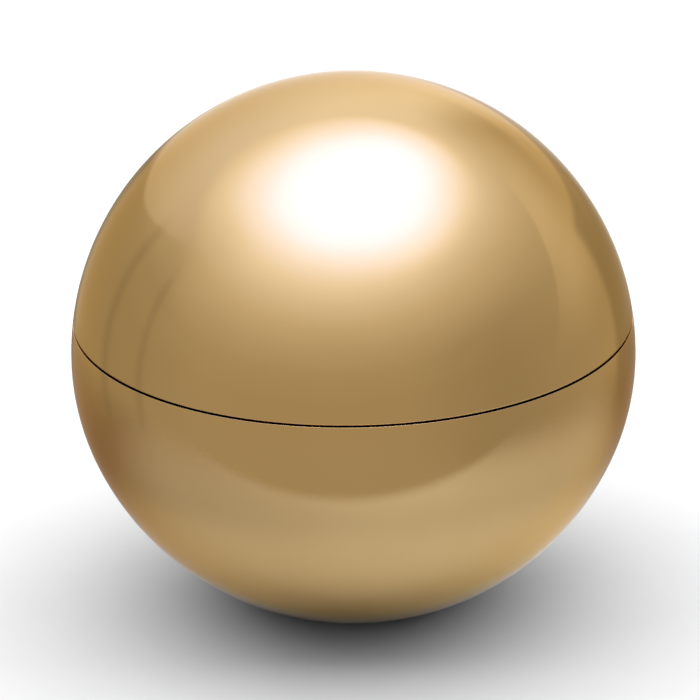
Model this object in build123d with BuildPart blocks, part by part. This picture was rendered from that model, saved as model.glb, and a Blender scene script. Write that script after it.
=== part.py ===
from build123d import *

import math
import os

os.makedirs("parts", exist_ok=True)

# A ball that twists open at its seam. Two metallised shells carry moulded inner parts: a liner with
# an internal thread in the lid, and a threaded cup of cast balm in the base. Sizes are in millimetres.
# +Z is up, and the origin is the middle of the flat foot that the ball stands on.

# ---- Driving dimensions -------------------------------------------------------------------------

# Ball. The lid is a true sphere; the base is a little squashed, with no corner anywhere in its outline.
ball_radius = 21.0
base_side_radius = 18.1  # outline radius just under the widest ring
base_depth = 20.03  # how far under the widest ring the base would reach without its foot
foot_radius = 6.3
foot_edge_radius = 2.0
shell_wall = 1.5

# Seam between the shells
seam_above_widest = 2.92
seam_gap = 0.12
lid_rim_edge_radius = 0.15

# Seats in the shells for the inner parts
seat_radius = 19.3
seat_clearance = 0.05
flange_thickness = 1.1
flange_below_rim = 0.12
shelf_radius = 18.6
shelf_height = 0.7
shelf_slope = 0.85

# Threaded neck, with several starts so that it opens in about a third of a turn
neck_radius = 15.0
neck_wall = 1.2
neck_height = 4.6  # above the seam
neck_edge_radius = 0.3
thread_starts = 4
thread_lead = 8.0
thread_height = 0.7
thread_root_width = 1.0
thread_crest_width = 0.5
thread_root_sink = 0.4  # how far a lug's flanks run on into its wall
thread_clearance = 0.35  # radial, between a crest and the wall facing it
cup_lug_turn = 80.0  # degrees
lid_lug_turn = 60.0
cup_lug_start = 1.8  # height of a lug's middle line above the seam, at its lower end

# Lid liner
liner_wall = 1.1
cavity_radius = 16.4
land_above_neck = 1.0  # the land that presses the gasket, above the neck's rim
shoulder_chamfer = 0.9
shoulder_drop = 1.3
bead_height = 0.2
bead_half_width = 0.15
bead_under_gasket = 0.25
liner_rib_count = 8
liner_rib_thickness = 0.8
liner_rib_low_angle = 38.0
liner_rib_high_angle = 72.0
rib_clearance = 0.25

# Gasket
gasket_inner_radius = 13.95
gasket_side_clearance = 0.1
gasket_face_clearance = 0.02

# Balm cup
cup_bottom = 9.6
cup_rib_count = 8
cup_rib_thickness = 0.9
cup_rib_reach = 3.3
cup_rib_tip_height = 2.2
cup_rib_length = 8.2
ledge_width = 0.7
ledge_thickness = 1.0
ledge_top = 16.6
plug_seat_depth = 1.4
plug_seat_step = 0.55

# Cup plug
plug_clearance = 0.05
plug_flange_thickness = 1.2
plug_rise = 2.6
plug_wall = 1.1

# Balm anchor
anchor_disc_thickness = 1.2
anchor_hub_radius = 3.4
anchor_rim_width = 1.5
spoke_count = 4
spoke_width = 2.0
post_radius = 2.0
post_height = 7.2
head_radius = 4.2
head_thickness = 1.4
head_edge_radius = 0.4

# Balm
balm_shrink = 0.03
dome_radius_at_neck = 13.4
dome_step = 0.4  # straight side above the neck's rim
dome_height = 7.3

# Label, in a shallow recess under the foot
label_radius = 5.0
label_thickness = 0.1
label_recess_depth = 0.2
label_clearance = 0.12

# ---- Worked out ---------------------------------------------------------------------------------

# The base's bottom arc runs on from its side arc where the two centres are in line.
side_centre_out = ball_radius - base_side_radius
side_to_depth = base_depth - base_side_radius
bottom_centre_up = (side_centre_out**2 - side_to_depth**2) / (2 * side_to_depth)
bottom_radius = bottom_centre_up + base_depth
side_turn = math.degrees(math.atan2(bottom_centre_up, side_centre_out))

widest_height = math.sqrt(bottom_radius**2 - foot_radius**2) - bottom_centre_up
ball_centre = (0, widest_height)
side_centre = (side_centre_out, widest_height)
bottom_centre = (0, widest_height + bottom_centre_up)
shell_inner_radius = ball_radius - shell_wall

seam_height = widest_height + seam_above_widest
base_rim = seam_height - seam_gap / 2
lid_rim = seam_height + seam_gap / 2
flange_radius = seat_radius - seat_clearance

lid_flange_bottom = lid_rim + flange_below_rim
lid_flange_top = lid_flange_bottom + flange_thickness
cup_flange_top = base_rim - flange_below_rim
cup_flange_bottom = cup_flange_top - flange_thickness

neck_top = seam_height + neck_height
neck_inner_radius = neck_radius - neck_wall
bore_radius = neck_radius + thread_height + thread_clearance
land_height = neck_top + land_above_neck
gasket_bottom = neck_top + gasket_face_clearance
gasket_top = land_height - gasket_face_clearance
gasket_radius = bore_radius - gasket_side_clearance
cup_lug_height = seam_height + cup_lug_start

# A lid lug lies half a thread spacing under the cup's lug, in the middle of its length. Each lug is
# placed clear of the four quarter lines.
thread_spacing = thread_lead / thread_starts
lug_offset_turn = (cup_lug_turn - lid_lug_turn) / 2
lid_lug_height = cup_lug_height + thread_lead * lug_offset_turn / 360 - thread_spacing / 2
cup_lug_angle = (360 / thread_starts - cup_lug_turn) / 2
lid_lug_angle = cup_lug_angle + lug_offset_turn
flank_slope = (thread_root_width - thread_crest_width) / thread_height
sunk_width = thread_root_width + flank_slope * thread_root_sink

liner_radius = bore_radius + liner_wall
dome_outer_radius = cavity_radius + liner_wall
shoulder_top = land_height + liner_wall
bead_middle = gasket_bottom - bead_under_gasket

ledge_radius = neck_inner_radius - ledge_width
ledge_bottom = ledge_top - ledge_thickness
anchor_radius = neck_inner_radius - plug_clearance
anchor_top = ledge_top + anchor_disc_thickness
plug_seat_radius = neck_inner_radius + plug_seat_step
plug_seat_top = cup_bottom + plug_seat_depth
plug_bottom = plug_seat_top - plug_flange_thickness
plug_top = plug_bottom + plug_rise
plug_radius = plug_seat_radius - plug_clearance
spigot_radius = neck_inner_radius - plug_clearance
dish_radius = spigot_radius - plug_wall

balm_radius = neck_inner_radius - balm_shrink
balm_waist = ledge_radius - balm_shrink
balm_bottom = plug_top + balm_shrink
dome_edge = neck_top + dome_step
dome_crown_radius = (dome_radius_at_neck**2 + dome_height**2) / (2 * dome_height)

shelf_bottom = cup_flange_bottom - shelf_height
recess_radius = label_radius + label_clearance


def angle_at(height, centre, radius):
    """The angle, in degrees above level, at which a circle about centre reaches a height."""
    return math.degrees(math.asin((height - centre[1]) / radius))


# ---- Lid ----------------------------------------------------------------------------------------

# Lid shell: a spherical cap with a counterbore inside its rim, where the liner's flange is bonded.
with BuildPart() as lid_shell:
    with BuildSketch(Plane.XZ) as lid_shell_profile:
        with BuildLine():
            outer_start = angle_at(lid_rim, ball_centre, ball_radius)
            inner_start = angle_at(lid_flange_top, ball_centre, shell_inner_radius)
            outer = CenterArc(ball_centre, ball_radius, outer_start, 90 - outer_start)
            inner = CenterArc(ball_centre, shell_inner_radius, inner_start, 90 - inner_start)
            Line(outer @ 1, inner @ 1)
            Polyline(
                inner @ 0,
                (seat_radius, lid_flange_top),
                (seat_radius, lid_rim),
                outer @ 0,
            )
        make_face()
        rim_corner = lid_shell_profile.vertices().sort_by(Axis.X)[-1]
        fillet(rim_corner, lid_rim_edge_radius)
    revolve(axis=Axis.Z)
lid_shell.part.label = "lid_shell"
export_step(lid_shell.part, "parts/lid_shell.step")

# One internal thread lug, swept along its helix from inside the liner's wall.
with BuildPart() as lid_lug:
    with BuildLine() as lid_lug_path:
        Helix(
            thread_lead,
            thread_lead * lid_lug_turn / 360,
            bore_radius,
            center=(0, 0, lid_lug_height),
        )
    with BuildSketch(Plane.XZ.shift_origin((bore_radius, 0, lid_lug_height))):
        with BuildLine():
            Polyline(
                (thread_root_sink, -sunk_width / 2),
                (-thread_height, -thread_crest_width / 2),
                (-thread_height, thread_crest_width / 2),
                (thread_root_sink, sunk_width / 2),
                close=True,
            )
        make_face()
    sweep(path=lid_lug_path.wire(), is_frenet=True)

# One rib of the liner's dome, from inside its wall to just short of the shell.
with BuildPart() as liner_rib:
    with BuildSketch(Plane.XZ):
        with BuildLine():
            rib_turn = liner_rib_high_angle - liner_rib_low_angle
            root_radius = cavity_radius + liner_wall / 2
            tip_radius = shell_inner_radius - rib_clearance
            rib_root = CenterArc(ball_centre, root_radius, liner_rib_low_angle, rib_turn)
            rib_tip = CenterArc(ball_centre, tip_radius, liner_rib_low_angle, rib_turn)
            Line(rib_root @ 0, rib_tip @ 0)
            Line(rib_root @ 1, rib_tip @ 1)
        make_face()
    extrude(amount=liner_rib_thickness / 2, both=True)

# Lid liner: flange, threaded bore, gasket land, and the dome over the balm with its stiffening ribs.
with BuildPart() as lid_liner:
    with BuildSketch(Plane.XZ):
        with BuildLine():
            cavity_start = angle_at(land_height, ball_centre, cavity_radius)
            dome_start = angle_at(shoulder_top, ball_centre, dome_outer_radius)
            cavity = CenterArc(ball_centre, cavity_radius, cavity_start, 90 - cavity_start)
            dome = CenterArc(ball_centre, dome_outer_radius, dome_start, 90 - dome_start)
            Line(cavity @ 1, dome @ 1)
            Polyline(
                dome @ 0,
                (liner_radius - shoulder_chamfer, shoulder_top),
                (liner_radius, shoulder_top - shoulder_drop),
                (liner_radius, lid_flange_top),
                (flange_radius, lid_flange_top),
                (flange_radius, lid_flange_bottom),
                (bore_radius, lid_flange_bottom),
                (bore_radius, bead_middle - bead_half_width),
                (bore_radius - bead_height, bead_middle),
                (bore_radius, bead_middle + bead_half_width),
                (bore_radius, land_height),
                cavity @ 0,
            )
        make_face()
    revolve(axis=Axis.Z)
    with PolarLocations(0, thread_starts, start_angle=lid_lug_angle):
        add(lid_lug.part)
    with PolarLocations(0, liner_rib_count, start_angle=180 / liner_rib_count):
        add(liner_rib.part)
lid_liner.part.label = "lid_liner"
export_step(lid_liner.part, "parts/lid_liner.step")

# Lid gasket: a flat sealing washer between the liner's land and the neck's rim.
with BuildPart() as lid_gasket:
    with BuildSketch(Plane.XY.offset(gasket_bottom)):
        Circle(gasket_radius)
        Circle(gasket_inner_radius, mode=Mode.SUBTRACT)
    extrude(amount=gasket_top - gasket_bottom)
lid_gasket.part.label = "lid_gasket"
export_step(lid_gasket.part, "parts/lid_gasket.step")

# ---- Base ---------------------------------------------------------------------------------------

# Base shell: sphere above the widest ring, then the side arc, the bottom arc and the flat foot.
with BuildPart() as base_shell:
    with BuildSketch(Plane.XZ) as base_shell_profile:
        with BuildLine():
            outer_end = angle_at(base_rim, ball_centre, ball_radius)
            upper = CenterArc(ball_centre, ball_radius, 0, outer_end)
            CenterArc(side_centre, base_side_radius, -side_turn, side_turn)
            foot_start = angle_at(0, bottom_centre, bottom_radius)
            bottom = CenterArc(
                bottom_centre, bottom_radius, foot_start, -side_turn - foot_start
            )
            inner_end = angle_at(shelf_bottom - shelf_slope, ball_centre, shell_inner_radius)
            inner_upper = CenterArc(ball_centre, shell_inner_radius, 0, inner_end)
            CenterArc(side_centre, base_side_radius - shell_wall, -side_turn, side_turn)
            floor_start = angle_at(shell_wall, bottom_centre, bottom_radius - shell_wall)
            inner_bottom = CenterArc(
                bottom_centre, bottom_radius - shell_wall, floor_start, -side_turn - floor_start
            )
            Polyline(
                inner_upper @ 1,
                (shelf_radius, shelf_bottom),
                (shelf_radius, cup_flange_bottom),
                (seat_radius, cup_flange_bottom),
                (seat_radius, base_rim),
                upper @ 1,
            )
            Polyline(
                bottom @ 0,
                (recess_radius, 0),
                (recess_radius, label_recess_depth),
                (0, label_recess_depth),
                (0, shell_wall),
                inner_bottom @ 0,
            )
        make_face()
        foot_corner = base_shell_profile.vertices().group_by(Axis.Y)[0].sort_by(Axis.X)[-1]
        fillet(foot_corner, foot_edge_radius)
    revolve(axis=Axis.Z)
base_shell.part.label = "base_shell"
export_step(base_shell.part, "parts/base_shell.step")

# One external thread lug, swept along its helix from inside the neck's wall.
with BuildPart() as cup_lug:
    with BuildLine() as cup_lug_path:
        Helix(
            thread_lead,
            thread_lead * cup_lug_turn / 360,
            neck_radius,
            center=(0, 0, cup_lug_height),
        )
    with BuildSketch(Plane.XZ.shift_origin((neck_radius, 0, cup_lug_height))):
        with BuildLine():
            Polyline(
                (-thread_root_sink, -sunk_width / 2),
                (thread_height, -thread_crest_width / 2),
                (thread_height, thread_crest_width / 2),
                (-thread_root_sink, sunk_width / 2),
                close=True,
            )
        make_face()
    sweep(path=cup_lug_path.wire(), is_frenet=True)

# One rib of the cup, from inside its wall, under the flange.
with BuildPart() as cup_rib:
    with BuildSketch(Plane.XZ):
        with BuildLine():
            rib_inner = neck_radius - neck_wall / 2
            rib_outer = neck_radius + cup_rib_reach
            rib_top = cup_flange_bottom + flange_thickness / 2
            rib_bottom = cup_flange_bottom - cup_rib_length
            Polyline(
                (rib_inner, rib_top),
                (rib_outer, rib_top),
                (rib_outer, cup_flange_bottom - cup_rib_tip_height),
                (neck_radius, rib_bottom),
                (rib_inner, rib_bottom),
                close=True,
            )
        make_face()
    extrude(amount=cup_rib_thickness / 2, both=True)

# Balm cup: an open tube with the threaded neck, the seated flange, a ledge for the anchor and ribs.
with BuildPart() as balm_cup:
    with BuildSketch(Plane.XZ) as cup_profile:
        with BuildLine():
            Polyline(
                (neck_inner_radius, neck_top),
                (neck_radius, neck_top),
                (neck_radius, cup_flange_top),
                (flange_radius, cup_flange_top),
                (flange_radius, cup_flange_bottom),
                (neck_radius, cup_flange_bottom),
                (neck_radius, cup_bottom),
                (plug_seat_radius, cup_bottom),
                (plug_seat_radius, plug_seat_top),
                (neck_inner_radius, plug_seat_top),
                (neck_inner_radius, ledge_bottom),
                (ledge_radius, ledge_bottom),
                (ledge_radius, ledge_top),
                (neck_inner_radius, ledge_top),
                close=True,
            )
        make_face()
        fillet(cup_profile.vertices().group_by(Axis.Y)[-1], neck_edge_radius)
    revolve(axis=Axis.Z)
    with PolarLocations(0, thread_starts, start_angle=cup_lug_angle):
        add(cup_lug.part)
    with PolarLocations(0, cup_rib_count):
        add(cup_rib.part)
balm_cup.part.label = "balm_cup"
export_step(balm_cup.part, "parts/balm_cup.step")

# Cup plug: a stepped, dished disc pushed into the cup's lower end.
with BuildPart() as cup_plug:
    with BuildSketch(Plane.XZ):
        with BuildLine():
            Polyline(
                (0, plug_top),
                (spigot_radius, plug_top),
                (spigot_radius, plug_seat_top),
                (plug_radius, plug_seat_top),
                (plug_radius, plug_bottom),
                (dish_radius, plug_bottom),
                (dish_radius, plug_top - plug_wall),
                (0, plug_top - plug_wall),
                close=True,
            )
        make_face()
    revolve(axis=Axis.Z)
cup_plug.part.label = "cup_plug"
export_step(cup_plug.part, "parts/cup_plug.step")

# Balm anchor: a spoked disc on the cup's ledge, with a headed post that the balm is cast around.
with BuildPart() as balm_anchor:
    with BuildSketch(Plane.XY.offset(ledge_top)):
        Circle(anchor_radius)
        Circle(anchor_radius - anchor_rim_width, mode=Mode.SUBTRACT)
        Circle(anchor_hub_radius)
        with PolarLocations(0, spoke_count // 2):
            Rectangle(2 * anchor_radius - anchor_rim_width, spoke_width)
    extrude(amount=anchor_disc_thickness)
    with BuildSketch(Plane.XY.offset(anchor_top)):
        Circle(post_radius)
    extrude(amount=post_height)
    with BuildSketch(Plane.XY.offset(anchor_top + post_height)):
        Circle(head_radius)
    extrude(amount=head_thickness)
    fillet(balm_anchor.faces().sort_by(Axis.Z)[-1].edges(), head_edge_radius)
balm_anchor.part.label = "balm_anchor"
export_step(balm_anchor.part, "parts/balm_anchor.step")

# Balm: cast in the cup around the anchor and the ledge, with its dome above the neck.
with BuildPart() as balm:
    with BuildSketch(Plane.XZ):
        with BuildLine():
            dome_rim = (dome_radius_at_neck, dome_edge)
            balm_dome = RadiusArc(dome_rim, (0, dome_edge + dome_height), -dome_crown_radius)
            Polyline(
                balm_dome @ 1,
                (0, balm_bottom),
                (balm_radius, balm_bottom),
                (balm_radius, ledge_bottom - balm_shrink),
                (balm_waist, ledge_bottom - balm_shrink),
                (balm_waist, ledge_top),
                (balm_radius, ledge_top),
                (balm_radius, neck_top - neck_edge_radius),
                (dome_radius_at_neck, neck_top),
                balm_dome @ 0,
            )
        make_face()
    revolve(axis=Axis.Z)
    add(balm_anchor.part, mode=Mode.SUBTRACT)
balm.part.label = "balm"
export_step(balm.part, "parts/balm.step")

# Bottom label: a blank disc in the foot's recess, clear of whatever the ball stands on.
with BuildPart() as bottom_label:
    with BuildSketch(Plane.XY.offset(label_recess_depth - label_thickness)):
        Circle(label_radius)
    extrude(amount=label_thickness)
bottom_label.part.label = "bottom_label"
export_step(bottom_label.part, "parts/bottom_label.step")
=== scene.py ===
import math

import bmesh
import bpy
from mathutils import Matrix, Vector


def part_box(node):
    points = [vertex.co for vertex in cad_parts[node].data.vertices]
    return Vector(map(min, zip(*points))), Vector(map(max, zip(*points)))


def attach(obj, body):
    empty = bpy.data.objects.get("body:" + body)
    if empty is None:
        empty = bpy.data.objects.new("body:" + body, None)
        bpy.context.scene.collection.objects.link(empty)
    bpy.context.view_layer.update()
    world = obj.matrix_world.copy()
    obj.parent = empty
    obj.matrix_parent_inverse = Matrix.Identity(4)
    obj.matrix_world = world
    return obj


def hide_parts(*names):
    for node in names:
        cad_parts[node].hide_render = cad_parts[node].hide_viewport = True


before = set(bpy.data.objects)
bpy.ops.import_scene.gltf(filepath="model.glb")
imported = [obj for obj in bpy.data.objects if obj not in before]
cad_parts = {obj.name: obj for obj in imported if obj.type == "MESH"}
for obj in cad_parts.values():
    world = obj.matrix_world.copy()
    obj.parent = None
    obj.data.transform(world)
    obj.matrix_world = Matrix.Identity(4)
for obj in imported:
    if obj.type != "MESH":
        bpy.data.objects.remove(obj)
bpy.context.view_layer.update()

MM = 0.001

# The ball's own sizes, in millimetres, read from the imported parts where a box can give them.
LID_LOW, LID_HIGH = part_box("lid_shell")
BASE_LOW, BASE_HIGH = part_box("base_shell")
BALL_RADIUS = (BASE_HIGH.x - BASE_LOW.x) / 2 / MM
BALL_TOP = LID_HIGH.z / MM
BALL_CENTRE = BALL_TOP - BALL_RADIUS
LID_RIM = LID_LOW.z / MM
BASE_RIM = BASE_HIGH.z / MM

SHELL_WALL = 1.5
SEAT_RADIUS = 19.3  # the bore at each rim, which holds the inner moulding
SEAT_DEPTH = 1.22
SIDE_RADIUS = 18.1  # the base's outline below the widest ring
BASE_DEPTH = 20.03  # from the widest ring down to where the bottom arc would end
FOOT_RADIUS = 6.3
SHELF_RADIUS = 18.6  # the step under the cup's flange
SHELF_HEIGHT = 0.7
SHELF_SLOPE = 0.85
RECESS_RADIUS = 5.12  # the label's recess in the foot
RECESS_DEPTH = 0.2

# How far from its corner each rounded edge starts, in millimetres.
LID_RIM_CUT = 0.1725
BASE_RIM_CUT = 0.021
SEAT_CUT = 0.08
FOOT_CUT = 0.32
RECESS_CUT = 0.05

# How finely the shells are divided.
AROUND = 224
ARC_STEPS = 72
SHELF_STEPS = 4
CORNER_STEPS = 7
RECESS_CORNER_STEPS = 3
SHARP_ANGLE = math.radians(35.0)
SAME_PLACE = 1e-7
ON_AXIS = 1e-9


# ---- Mesh making --------------------------------------------------------------------------------

def arc(centre, radius, start, end, steps=ARC_STEPS):
    """Points of an arc in (radius, height), from one angle above level to another, in degrees."""
    turn = [math.radians(start + (end - start) * k / steps) for k in range(steps + 1)]
    return [(centre[0] + radius * math.cos(t), centre[1] + radius * math.sin(t)) for t in turn]


def angle_at(height, centre, radius):
    """The angle above level, in degrees, at which a circle reaches a height."""
    return math.degrees(math.asin((height - centre[1]) / radius))


def walk(points, start, step, length):
    """Goes a length along a closed profile; returns the place and the indices passed on the way."""
    here, index, passed = Vector(points[start]), start, []
    while True:
        index = (index + step) % len(points)
        there = Vector(points[index])
        run = (there - here).length
        if run >= length:
            return here.lerp(there, length / run), passed
        length -= run
        here = there
        passed.append(index)


def round_corner(points, corner, cut, steps=CORNER_STEPS):
    """Rounds the profile's point nearest to a corner, starting a cut's length before it."""
    middle = min(range(len(points)), key=lambda k: (Vector(points[k]) - Vector(corner)).length)
    before, gone_before = walk(points, middle, -1, cut)
    after, gone_after = walk(points, middle, 1, cut)
    mid = Vector(points[middle])
    curve = []
    for k in range(steps + 1):
        t = k / steps
        curve.append(tuple(before * (1 - t) ** 2 + mid * 2 * t * (1 - t) + after * t**2))
    gone = set(gone_before) | set(gone_after)
    made = []
    for k, point in enumerate(points):
        if k == middle:
            made.extend(curve)
        elif k not in gone:
            made.append(point)
    return made


def finish_mesh(name, bm):
    """Makes an object of a bmesh: no doubled points, normals outward, smooth but for real corners."""
    bmesh.ops.remove_doubles(bm, verts=bm.verts, dist=SAME_PLACE)
    bmesh.ops.recalc_face_normals(bm, faces=bm.faces)
    mesh = bpy.data.meshes.new(name)
    bm.to_mesh(mesh)
    bm.free()
    mesh.shade_smooth()
    mesh.set_sharp_from_angle(angle=SHARP_ANGLE)
    piece = bpy.data.objects.new(name, mesh)
    bpy.context.scene.collection.objects.link(piece)
    return piece


def turned(name, profile):
    """A solid of revolution from a closed profile of (radius, height) in mm."""
    bm = bmesh.new()
    turns = [2 * math.pi * k / AROUND for k in range(AROUND)]
    rings = []
    for radius, height in profile:
        if radius < ON_AXIS:
            ring = [bm.verts.new((0.0, 0.0, height * MM))] * AROUND
        else:
            places = [(radius * math.cos(t) * MM, radius * math.sin(t) * MM, height * MM) for t in turns]
            ring = [bm.verts.new(place) for place in places]
        rings.append(ring)
    for k, ring in enumerate(rings):
        after = rings[(k + 1) % len(rings)]
        for j in range(AROUND):
            corners = [ring[j], ring[(j + 1) % AROUND], after[(j + 1) % AROUND], after[j]]
            face = []
            for vert in corners:
                if vert not in face:
                    face.append(vert)
            if len(face) > 2:
                bm.faces.new(face)
    return finish_mesh(name, bm)


# ---- Shader nodes -------------------------------------------------------------------------------

class Nodes:
    """A small hand for wiring one node tree."""

    def __init__(self, tree):
        self.tree = tree
        self.tree.nodes.clear()

    def add(self, kind, **settings):
        node = self.tree.nodes.new(kind)
        for key, value in settings.items():
            setattr(node, key, value)
        return node

    def put(self, socket, value):
        """Wires a socket to another, or sets it to a number or colour."""
        if isinstance(value, bpy.types.NodeSocket):
            self.tree.links.new(value, socket)
        else:
            socket.default_value = value

    def math(self, operation, *values, clamp=False):
        node = self.add("ShaderNodeMath", operation=operation, use_clamp=clamp)
        for socket, value in zip(node.inputs, values):
            self.put(socket, value)
        return node.outputs[0]

    def plus(self, total, *others):
        for value in others:
            total = self.math("ADD", total, value)
        return total

    def times(self, total, *others):
        for value in others:
            total = self.math("MULTIPLY", total, value)
        return total

    def line(self, value, slope, offset):
        return self.math("MULTIPLY_ADD", value, slope, offset)

    def step(self, value, start, end, low=0.0, high=1.0):
        """Turns smoothly from low to high as value goes from start to end."""
        node = self.add("ShaderNodeMapRange", interpolation_type="SMOOTHERSTEP")
        for socket, number in zip(node.inputs, (value, start, end, low, high)):
            self.put(socket, number)
        return node.outputs[0]

    def ramp(self, value, stops):
        """A colour that runs straight from each stop's colour to the next one's."""
        node = self.add("ShaderNodeValToRGB")
        node.color_ramp.interpolation = "LINEAR"
        marks = node.color_ramp.elements
        while len(marks) < len(stops):
            marks.new(0.5)
        for mark, (place, colour) in zip(marks, stops):
            mark.position = place
            mark.color = (*colour, 1.0)
        self.put(node.inputs[0], value)
        return node.outputs[0]

    def mix(self, amount, one, two, blend="MIX"):
        node = self.add("ShaderNodeMix", data_type="RGBA", blend_type=blend)
        self.put(node.inputs[0], amount)
        for socket, value in ((node.inputs[6], one), (node.inputs[7], two)):
            if not isinstance(value, bpy.types.NodeSocket):
                value = (*value, 1.0)
            self.put(socket, value)
        return node.outputs[2]

    def grey(self, value):
        node = self.add("ShaderNodeCombineColor")
        for socket in node.inputs:
            self.put(socket, value)
        return node.outputs[0]

    def split(self, vector):
        node = self.add("ShaderNodeSeparateXYZ")
        self.put(node.inputs[0], vector)
        return node.outputs

    def noise(self, where, scale, detail, roughness):
        node = self.add("ShaderNodeTexNoise")
        self.put(node.inputs["Vector"], where)
        node.inputs["Scale"].default_value = scale
        node.inputs["Detail"].default_value = detail
        node.inputs["Roughness"].default_value = roughness
        return node.outputs[0]

    def cells(self, where, scale):
        node = self.add("ShaderNodeTexVoronoi", feature="F1")
        self.put(node.inputs["Vector"], where)
        node.inputs["Scale"].default_value = scale
        return node.outputs[0]

    def bump(self, height, distance, strength, normal=None):
        node = self.add("ShaderNodeBump")
        node.inputs["Strength"].default_value = strength
        node.inputs["Distance"].default_value = distance
        self.put(node.inputs["Height"], height)
        if normal is not None:
            self.put(node.inputs["Normal"], normal)
        return node.outputs[0]


def new_material(name):
    material = bpy.data.materials.new(name)
    material.use_nodes = True
    nodes = Nodes(material.node_tree)
    shader = nodes.add("ShaderNodeBsdfPrincipled")
    out = nodes.add("ShaderNodeOutputMaterial")
    nodes.put(out.inputs["Surface"], shader.outputs[0])
    where = nodes.add("ShaderNodeTexCoord").outputs["Object"]
    return material, nodes, shader, where


def gold_film():
    """Vacuum-metallised film under lacquer, on a moulded shell: very slight orange peel and haze."""
    material, nodes, shader, where = new_material("gold_film")
    cloud = nodes.noise(where, scale=90.0, detail=2.0, roughness=0.5)
    fine = nodes.noise(where, scale=1600.0, detail=3.0, roughness=0.55)
    tone = nodes.step(cloud, start=0.3, end=0.7)
    colour = nodes.mix(tone, (0.455, 0.305, 0.140), (0.470, 0.317, 0.148))
    nodes.put(shader.inputs["Base Color"], colour)
    haze = nodes.line(nodes.step(cloud, start=0.25, end=0.75), slope=0.02, offset=0.050)
    nodes.put(shader.inputs["Roughness"], nodes.line(fine, slope=0.015, offset=haze))
    shader.inputs["Metallic"].default_value = 1.0
    shader.inputs["Specular Tint"].default_value = (0.90, 0.75, 0.55, 1.0)
    peel = nodes.noise(where, scale=420.0, detail=2.0, roughness=0.45)
    nodes.put(shader.inputs["Normal"], nodes.bump(peel, distance=0.0000015, strength=1.0))
    return material


def moulding():
    """White moulded polypropylene: satin, a little light inside it, a fine spark-eroded grain."""
    material, nodes, shader, where = new_material("white_moulding")
    flow = nodes.noise(where, scale=70.0, detail=3.0, roughness=0.6)
    grain = nodes.noise(where, scale=5200.0, detail=2.0, roughness=0.6)
    tone = nodes.step(flow, start=0.3, end=0.7)
    colour = nodes.mix(tone, (0.79, 0.78, 0.75), (0.84, 0.83, 0.80))
    nodes.put(shader.inputs["Base Color"], colour)
    nodes.put(shader.inputs["Roughness"], nodes.line(grain, slope=0.16, offset=0.34))
    shader.inputs["Subsurface Weight"].default_value = 0.15
    shader.inputs["Subsurface Radius"].default_value = (0.9, 0.8, 0.7)
    shader.inputs["Subsurface Scale"].default_value = 0.001
    nodes.put(shader.inputs["Normal"], nodes.bump(grain, distance=0.000012, strength=0.6))
    return material


def foam():
    """Closed-cell foam sheet, punched: fine cells and a dry, matt skin."""
    material, nodes, shader, where = new_material("soft_seal")
    cell = nodes.cells(where, scale=3400.0)
    tone = nodes.step(cell, start=0.1, end=0.7)
    colour = nodes.mix(tone, (0.70, 0.70, 0.68), (0.60, 0.60, 0.58))
    nodes.put(shader.inputs["Base Color"], colour)
    nodes.put(shader.inputs["Roughness"], nodes.line(cell, slope=0.2, offset=0.62))
    shader.inputs["Sheen Weight"].default_value = 0.15
    nodes.put(shader.inputs["Normal"], nodes.bump(cell, distance=0.00004, strength=0.7))
    return material


def wax():
    """Cast balm: pale, waxy, lit from inside, with a soft bloom and a few pin bubbles."""
    material, nodes, shader, where = new_material("balm_wax")
    bloom = nodes.noise(where, scale=190.0, detail=5.0, roughness=0.6)
    skin = nodes.noise(where, scale=900.0, detail=3.0, roughness=0.55)
    tone = nodes.step(bloom, start=0.35, end=0.7)
    colour = nodes.mix(tone, (0.86, 0.74, 0.52), (0.90, 0.80, 0.61))
    nodes.put(shader.inputs["Base Color"], colour)
    nodes.put(shader.inputs["Roughness"], nodes.line(bloom, slope=0.25, offset=0.26))
    shader.inputs["Subsurface Weight"].default_value = 0.6
    shader.inputs["Subsurface Radius"].default_value = (1.6, 1.0, 0.5)
    shader.inputs["Subsurface Scale"].default_value = 0.0012
    pit = nodes.step(nodes.cells(where, scale=420.0), start=0.04, end=0.12)
    soft = nodes.bump(skin, distance=0.00005, strength=0.5)
    pitted = nodes.bump(pit, distance=0.00005, strength=0.6, normal=soft)
    nodes.put(shader.inputs["Normal"], pitted)
    return material


def paper():
    """Blank coated label stock: off-white, with faint fibres."""
    material, nodes, shader, where = new_material("label_paper")
    fibre = nodes.noise(where, scale=2600.0, detail=6.0, roughness=0.7)
    tone = nodes.step(fibre, start=0.3, end=0.7)
    colour = nodes.mix(tone, (0.80, 0.79, 0.76), (0.87, 0.87, 0.85))
    nodes.put(shader.inputs["Base Color"], colour)
    nodes.put(shader.inputs["Roughness"], nodes.line(fibre, slope=0.2, offset=0.4))
    nodes.put(shader.inputs["Normal"], nodes.bump(fibre, distance=0.00001, strength=0.5))
    return material


GOLD = gold_film()
WHITE = moulding()
FOAM = foam()
WAX = wax()
PAPER = paper()


def dress(piece, material):
    piece.data.materials.clear()
    piece.data.materials.append(material)


# ---- Shells -------------------------------------------------------------------------------------

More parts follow.
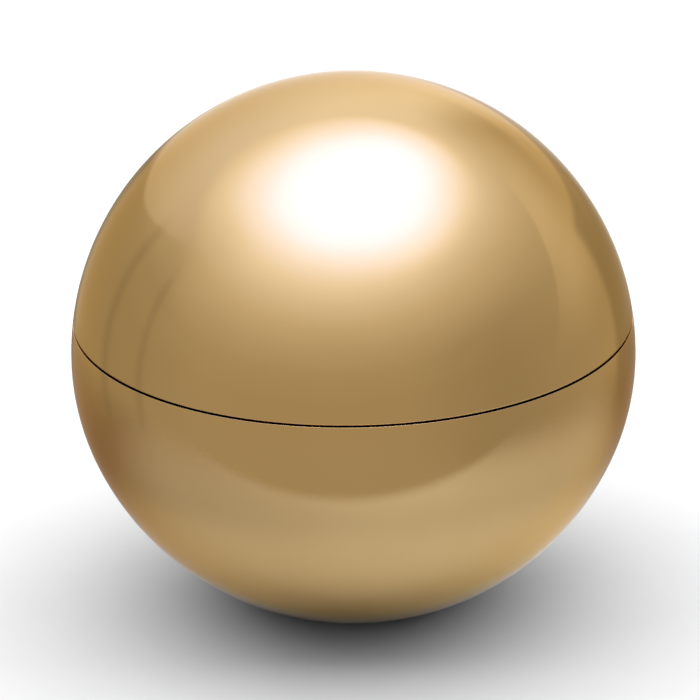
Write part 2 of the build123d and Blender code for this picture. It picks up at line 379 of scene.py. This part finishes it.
CENTRE = (0.0, BALL_CENTRE)
INNER_RADIUS = BALL_RADIUS - SHELL_WALL
LID_SEAT = LID_RIM + SEAT_DEPTH
lid_profile = (
    arc(CENTRE, BALL_RADIUS, angle_at(LID_RIM, CENTRE, BALL_RADIUS), 90.0, 2 * ARC_STEPS)[:-1]
    + [(0.0, BALL_TOP), (0.0, BALL_TOP - SHELL_WALL)]
    + arc(CENTRE, INNER_RADIUS, 90.0, angle_at(LID_SEAT, CENTRE, INNER_RADIUS))[1:]
    + [(SEAT_RADIUS, LID_SEAT), (SEAT_RADIUS, LID_RIM)]
)
lid_profile = round_corner(lid_profile, lid_profile[0], LID_RIM_CUT)
lid_profile = round_corner(lid_profile, (SEAT_RADIUS, LID_RIM), SEAT_CUT)
lid_skin = turned("lid_shell_skin", lid_profile)
dress(lid_skin, GOLD)
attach(lid_skin, "lid")
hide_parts("lid_shell")

# The base's outline is two arcs that meet smoothly: one down the side, and a wider one underneath.
SIDE_OUT = BALL_RADIUS - SIDE_RADIUS
SIDE_TO_DEPTH = BASE_DEPTH - SIDE_RADIUS
BOTTOM_UP = (SIDE_OUT**2 - SIDE_TO_DEPTH**2) / (2 * SIDE_TO_DEPTH)
BOTTOM_RADIUS = BOTTOM_UP + BASE_DEPTH
SIDE_TURN = math.degrees(math.atan2(BOTTOM_UP, SIDE_OUT))
SIDE_CENTRE = (SIDE_OUT, BALL_CENTRE)
BOTTOM_CENTRE = (0.0, BALL_CENTRE + BOTTOM_UP)
CUP_SEAT = BASE_RIM - SEAT_DEPTH
SHELF_LOW = CUP_SEAT - SHELF_HEIGHT
INNER_BOTTOM_RADIUS = BOTTOM_RADIUS - SHELL_WALL
foot_angle = angle_at(0.0, BOTTOM_CENTRE, BOTTOM_RADIUS)
rim_angle = angle_at(BASE_RIM, CENTRE, BALL_RADIUS)
shelf_angle = angle_at(SHELF_LOW - SHELF_SLOPE, CENTRE, INNER_RADIUS)
inner_foot_angle = angle_at(SHELL_WALL, BOTTOM_CENTRE, INNER_BOTTOM_RADIUS)
base_profile = (
    arc(BOTTOM_CENTRE, BOTTOM_RADIUS, foot_angle, -SIDE_TURN)
    + arc(SIDE_CENTRE, SIDE_RADIUS, -SIDE_TURN, 0.0, ARC_STEPS // 3)[1:]
    + arc(CENTRE, BALL_RADIUS, 0.0, rim_angle, ARC_STEPS // 6)[1:]
    + [(SEAT_RADIUS, BASE_RIM), (SEAT_RADIUS, CUP_SEAT)]
    + [(SHELF_RADIUS, CUP_SEAT), (SHELF_RADIUS, SHELF_LOW)]
    + arc(CENTRE, INNER_RADIUS, shelf_angle, 0.0, SHELF_STEPS)
    + arc(SIDE_CENTRE, SIDE_RADIUS - SHELL_WALL, 0.0, -SIDE_TURN, ARC_STEPS // 4)[1:]
    + arc(BOTTOM_CENTRE, INNER_BOTTOM_RADIUS, -SIDE_TURN, inner_foot_angle)[1:]
    + [(0.0, SHELL_WALL), (0.0, RECESS_DEPTH)]
    + [(RECESS_RADIUS, RECESS_DEPTH), (RECESS_RADIUS, 0.0)]
)
rim_corner = (math.sqrt(BALL_RADIUS**2 - (BASE_RIM - BALL_CENTRE) ** 2), BASE_RIM)
base_profile = round_corner(base_profile, rim_corner, BASE_RIM_CUT)
base_profile = round_corner(base_profile, (SEAT_RADIUS, BASE_RIM), SEAT_CUT)
base_profile = round_corner(base_profile, (FOOT_RADIUS, 0.0), FOOT_CUT)
base_profile = round_corner(base_profile, (RECESS_RADIUS, 0.0), RECESS_CUT, RECESS_CORNER_STEPS)
base_skin = turned("base_shell_skin", base_profile)
dress(base_skin, GOLD)
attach(base_skin, "base")
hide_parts("base_shell")

# ---- Inner parts --------------------------------------------------------------------------------

for node in ("lid_liner", "balm_cup", "cup_plug", "balm_anchor"):
    dress(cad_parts[node], WHITE)
dress(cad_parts["lid_gasket"], FOAM)
dress(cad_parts["balm"], WAX)
dress(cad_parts["bottom_label"], PAPER)

# ---- Floor --------------------------------------------------------------------------------------

FLOOR_LOW = (-4.0, -4.0)
FLOOR_HIGH = (4.0, 4.0)
FLOOR_HEIGHT = -0.00002
MATT = 0.9  # the roughness of both sheets


def flat_sheet(name, low, high, height, material):
    """A level sheet between two corners, in metres."""
    bm = bmesh.new()
    corners = ((low[0], low[1]), (high[0], low[1]), (high[0], high[1]), (low[0], high[1]))
    bm.faces.new([bm.verts.new((x, y, height)) for x, y in corners])
    sheet = finish_mesh(name, bm)
    dress(sheet, material)
    return sheet


floor_material, nodes, shader, where = new_material("floor_paper")
tooth = nodes.step(nodes.noise(where, scale=40.0, detail=4.0, roughness=0.6), start=0.3, end=0.7)
colour = nodes.mix(tooth, (0.846, 0.846, 0.852), (0.870, 0.870, 0.876))
nodes.put(shader.inputs["Base Color"], colour)
shader.inputs["Roughness"].default_value = MATT
shader.inputs["Specular IOR Level"].default_value = 0.0
floor = flat_sheet("floor", FLOOR_LOW, FLOOR_HIGH, FLOOR_HEIGHT, floor_material)
floor.visible_glossy = False

# What the ball mirrors of the floor: the same paper, but the table ends a little way in front of it,
# and its colour is painted with light and shade: a painted pool of light, strongest in front and to the
# right, painted shade, darker and warmer, behind, and painted light near the foot. Places are in metres.
TABLE_LOW = (-0.115, -0.045)
TABLE_HIGH = (0.115, 0.115)
# The mirrored paper's colour where the painted light is full.
PAINTED_LIT_PAPER = (0.900, 0.935, 0.960)
# Painted shade behind the ball, near and then far.
PAINTED_SHADE_BEHIND = (0.333, 0.265, 0.216)
PAINTED_SHADE_FAR_BEHIND = (0.220, 0.140, 0.090)
PAINTED_POOL_MIDDLE = 0.014  # where across the table the painted pool of light is strongest
PAINTED_POOL_NARROWNESS = 24.0  # 1 over its half width
PAINTED_POOL_EDGE_LIGHT = 0.42  # how much painted light is left far to the sides
PAINTED_POOL_SLANT = -0.18
FRONT_EDGE_SLANT = 0.05
UNDER_BALL_PAINTED_LIGHT = 2.25  # painted light near the foot: the paper's mirrored brightness there, against that in the open
painted_table_material, nodes, shader, where = new_material("table_paper_painted_light")
across, deep, _ = nodes.split(where)
# Painted light: a pool of light across the table, fading to the sides and cut off towards the back.
off_middle = nodes.times(nodes.math("SUBTRACT", across, PAINTED_POOL_MIDDLE), PAINTED_POOL_NARROWNESS)
painted_pool = nodes.math("EXPONENT", nodes.times(nodes.math("POWER", off_middle, 2.0), -1.0))
painted_pool = nodes.line(painted_pool, slope=1 - PAINTED_POOL_EDGE_LIGHT, offset=PAINTED_POOL_EDGE_LIGHT)
painted_pool_front = nodes.line(across, slope=PAINTED_POOL_SLANT, offset=deep)
lit = nodes.times(painted_pool, nodes.step(painted_pool_front, start=0.024, end=-0.016))
# Painted shade: behind the ball the mirrored paper turns darker and warmer, more so further back.
painted_shade = nodes.mix(nodes.step(deep, start=0.026, end=0.062), PAINTED_SHADE_BEHIND, PAINTED_SHADE_FAR_BEHIND)
length = nodes.add("ShaderNodeVectorMath", operation="LENGTH")
nodes.put(length.inputs[0], where)
foot_distance = length.outputs["Value"]
# Painted light: close to the foot the mirrored paper's colour is brightened, lifting the shade under the
# ball.
painted_lift = nodes.add("ShaderNodeVectorMath", operation="SCALE")
nodes.put(painted_lift.inputs[0], nodes.mix(lit, painted_shade, PAINTED_LIT_PAPER))
under_ball_painted_light = nodes.step(foot_distance, start=0.035, end=0.006, low=1.0, high=UNDER_BALL_PAINTED_LIGHT)
nodes.put(painted_lift.inputs["Scale"], under_ball_painted_light)
nodes.put(shader.inputs["Base Color"], painted_lift.outputs[0])
shader.inputs["Roughness"].default_value = MATT
shader.inputs["Specular IOR Level"].default_value = 0.0
front_edge = nodes.line(across, slope=FRONT_EDGE_SLANT, offset=deep)
front_fade = nodes.step(front_edge, start=-0.044, end=-0.035)
far_fade = nodes.step(foot_distance, start=0.098, end=0.026)
nodes.put(shader.inputs["Alpha"], nodes.times(front_fade, far_fade))
# The sheet that carries this painted light and shade, seen only in reflections.
table = flat_sheet("table_mirrored", TABLE_LOW, TABLE_HIGH, FLOOR_HEIGHT / 2, painted_table_material)
table.visible_camera = False
table.visible_diffuse = False
table.visible_shadow = False
table.visible_transmission = False

# ---- Studio -------------------------------------------------------------------------------------

STUDIO_STRENGTH = 10.0
world = bpy.data.worlds.new("studio")
bpy.context.scene.world = world
world.use_nodes = True
nodes = Nodes(world.node_tree)
backdrop = nodes.add("ShaderNodeBackground")
out = nodes.add("ShaderNodeOutputWorld")
nodes.put(out.inputs["Surface"], backdrop.outputs[0])
where = nodes.add("ShaderNodeTexCoord").outputs["Generated"]
dx, dy, dz = nodes.split(where)

# Directions in degrees: up from the horizon, and round to the right from the camera's side.
up = nodes.times(nodes.math("ARCSINE", dz), 180 / math.pi)
around = nodes.math("ARCTAN2", dx, nodes.times(dy, -1.0))


def lobe(azimuth, width):
    """1 towards an azimuth, falling off smoothly to both sides."""
    near = nodes.math("COSINE", nodes.math("SUBTRACT", around, math.radians(azimuth)))
    sharpness = 1 / math.radians(width) ** 2
    return nodes.math("EXPONENT", nodes.times(nodes.math("SUBTRACT", near, 1.0), sharpness))


def belt(low, high, soft):
    """1 between two elevations, with soft edges."""
    rise = nodes.step(up, low - soft, low + soft)
    return nodes.times(rise, nodes.step(up, high - soft, high + soft, low=1.0, high=0.0))


def toward(normal):
    """How far a direction is to one side of a plane through the ball."""
    node = nodes.add("ShaderNodeVectorMath", operation="DOT_PRODUCT")
    nodes.put(node.inputs[0], where)
    node.inputs[1].default_value = Vector(normal).normalized()
    return node.outputs["Value"]


# Warm grey walls that brighten towards a large lamp overhead. The lamp's edge dips and rises a little:
# these are the degrees by which a direction counts as lower or higher than it is.
RIGHT_DIP = -7.0
LEFT_DIP = -4.5
BACK_RISE = 6.0
LEFT_RISE = 4.5
dips = nodes.plus(
    nodes.times(lobe(azimuth=72, width=33), RIGHT_DIP),
    nodes.times(lobe(azimuth=-105, width=22), LEFT_DIP),
)
lamp_edge = nodes.plus(
    nodes.times(dips, nodes.step(up, start=44.0, end=60.0, low=1.0, high=0.0)),
    nodes.times(lobe(azimuth=150, width=25), nodes.step(up, start=42.0, end=52.0, high=BACK_RISE)),
    nodes.times(lobe(azimuth=-116, width=17), belt(low=37, high=55, soft=9), LEFT_RISE),
)
RAMP_LOW, RAMP_HIGH = -45.0, 90.0
height = nodes.math("SUBTRACT", nodes.plus(up, lamp_edge), RAMP_LOW)
place = nodes.math("DIVIDE", height, RAMP_HIGH - RAMP_LOW, clamp=True)
WALL_STOPS = (  # elevation in degrees, and the colour there
    (-45, (0.075, 0.070, 0.058)),
    (0, (0.078, 0.072, 0.057)),
    (12, (0.084, 0.079, 0.065)),
    (22, (0.098, 0.095, 0.084)),
    (31, (0.118, 0.117, 0.112)),
    (40, (0.148, 0.152, 0.165)),
    (48, (0.182, 0.192, 0.225)),
    (54, (0.205, 0.230, 0.325)),
    (60, (0.230, 0.270, 0.462)),
    (65, (0.300, 0.303, 0.605)),
    (70, (0.430, 0.335, 0.670)),
    (75, (0.720, 0.640, 0.740)),
    (82, (0.850, 0.850, 0.850)),
)
stops = [((angle - RAMP_LOW) / (RAMP_HIGH - RAMP_LOW), colour) for angle, colour in WALL_STOPS]
walls = nodes.ramp(place, stops)

# A bright panel behind, with a slanting lower left edge and an upright right edge. Its stops are
# places past the slanting edge, where the edge itself is at PANEL_SHIFT.
PANEL_EDGE = (0.514, 0.297, 0.805)
PANEL_SIDE = (-0.932, 0.289, 0.217)
PANEL_SHIFT = 0.22
PANEL_DENT = -0.05  # how far the slanting edge is pushed in at one place
PANEL_STOPS = (
    (0.200, (0.060, 0.054, 0.042)),
    (0.238, (0.066, 0.060, 0.048)),
    (0.262, (0.111, 0.110, 0.107)),
    (0.340, (0.121, 0.122, 0.127)),
    (0.470, (0.130, 0.134, 0.147)),
    (0.600, (0.142, 0.150, 0.176)),
    (0.750, (0.157, 0.168, 0.199)),
    (0.900, (0.171, 0.183, 0.216)),
)
panel_edge = nodes.line(lobe(azimuth=-158, width=13), slope=PANEL_DENT, offset=toward(PANEL_EDGE))
panel = nodes.ramp(nodes.plus(panel_edge, PANEL_SHIFT), PANEL_STOPS)
panel_side = nodes.step(toward(PANEL_SIDE), start=-0.10, end=0.22)
studio = nodes.mix(panel_side, walls, panel, "LIGHTEN")

# Two lighter patches, low to the right and behind. The first is cut off along a slanting line.
PATCH_CUT = (0.0, 0.732, -0.681)
PATCH_LIGHT = 0.029
BACK_PATCH_LIGHT = 0.022
patch = nodes.times(
    lobe(azimuth=120, width=17),
    belt(low=2, high=30, soft=12),
    nodes.step(toward(PATCH_CUT), start=-0.02, end=0.02, low=0.2),
    PATCH_LIGHT,
)
studio = nodes.mix(1.0, studio, nodes.grey(patch), "ADD")
back_patch = nodes.times(
    lobe(azimuth=161, width=9),
    belt(low=-4, high=12, soft=5),
    BACK_PATCH_LIGHT,
)
studio = nodes.mix(1.0, studio, nodes.grey(back_patch), "ADD")

# Dark flags and two thin stands, low to the left and right: azimuth, width, lowest and highest
# elevation, softness of those two edges, and how much light is kept back.
FLAGS = (
    (-118, 26, -30, 18, 12, 0.12),
    (66, 22, -30, 25, 12, 0.15),
    (-101, 9, 14, 33, 7, 0.09),
    (-119, 2.2, -30, 24, 8, 0.13),
    (-95, 1.6, -30, 24, 8, 0.13),
)
flags = nodes.plus(
    *[
        nodes.times(lobe(azimuth, width), belt(low, high, soft), kept_back)
        for azimuth, width, low, high, soft, kept_back in FLAGS
    ]
)

# Two more flags far behind, right and left, each cut off along straight lines.
RIGHT_FLAG_TOP = (0.300, -0.156, -0.941)
RIGHT_FLAG_SIDE = (-0.682, 0.731, 0.0)
LEFT_FLAG_SIDE = (0.966, 0.259, 0.0)
right_far_flag = nodes.times(
    nodes.step(toward(RIGHT_FLAG_TOP), start=-0.055, end=0.005),
    nodes.step(toward(RIGHT_FLAG_SIDE), start=-0.08, end=0.08),
    nodes.step(dx, start=0.0, end=0.15, high=0.30),
)
left_far_flag = nodes.times(
    nodes.step(panel_edge, start=0.022, end=-0.002),
    nodes.step(toward(LEFT_FLAG_SIDE), start=-0.15, end=0.08, high=0.45),
    nodes.step(dx, start=0.05, end=-0.05),
)
flags = nodes.plus(flags, right_far_flag, left_far_flag)
studio = nodes.mix(1.0, studio, nodes.grey(nodes.math("SUBTRACT", 1.0, flags)), "MULTIPLY")
nodes.put(backdrop.inputs["Color"], studio)
backdrop.inputs["Strength"].default_value = STUDIO_STRENGTH

# The shells mirror the studio above; what is matt is lit by these two, which no mirror shows.
world.cycles_visibility.diffuse = False


def soft_lamp(name, middle, width, depth, power):
    """A level area lamp facing down, kept out of reflections. Metres and watts."""
    data = bpy.data.lights.new(name, "AREA")
    data.shape = "RECTANGLE"
    data.size = width
    data.size_y = depth
    data.energy = power
    lamp = bpy.data.objects.new(name, data)
    lamp.location = middle
    lamp.visible_glossy = False
    lamp.visible_camera = False
    bpy.context.scene.collection.objects.link(lamp)


soft_lamp("softbox", middle=(0.45, 0.38, 1.0), width=4.6, depth=1.8, power=39.0)
soft_lamp("ceiling", middle=(0.0, 0.0, 1.2), width=9.0, depth=9.0, power=137.0)
bpy.context.scene.cycles.caustics_reflective = False

# ---- Camera -------------------------------------------------------------------------------------

DISTANCE = 0.42
ELEVATION = math.radians(22.6)
ROLL = math.radians(0.87)
camera_data = bpy.data.cameras.new("camera")
camera_data.lens = 290.0
camera_data.sensor_width = 36.0
camera_data.shift_x = -0.0049
camera_data.shift_y = 0.0033
camera_data.clip_start = 0.01
camera_data.clip_end = 10.0
camera = bpy.data.objects.new("camera", camera_data)
bpy.context.scene.collection.objects.link(camera)
bpy.context.scene.camera = camera
target = Vector((0.0, 0.0, BALL_CENTRE * MM))
back = Vector((0.0, -math.cos(ELEVATION), math.sin(ELEVATION)))
look = (-back).to_track_quat("-Z", "Y").to_matrix().to_4x4()
stand = Matrix.Translation(target + back * DISTANCE)
camera.matrix_world = stand @ look @ Matrix.Rotation(-ROLL, 4, "Z")

bpy.context.scene.view_settings.view_transform = "Standard"
bpy.context.scene.view_settings.look = "None"

bpy.context.view_layer.update()
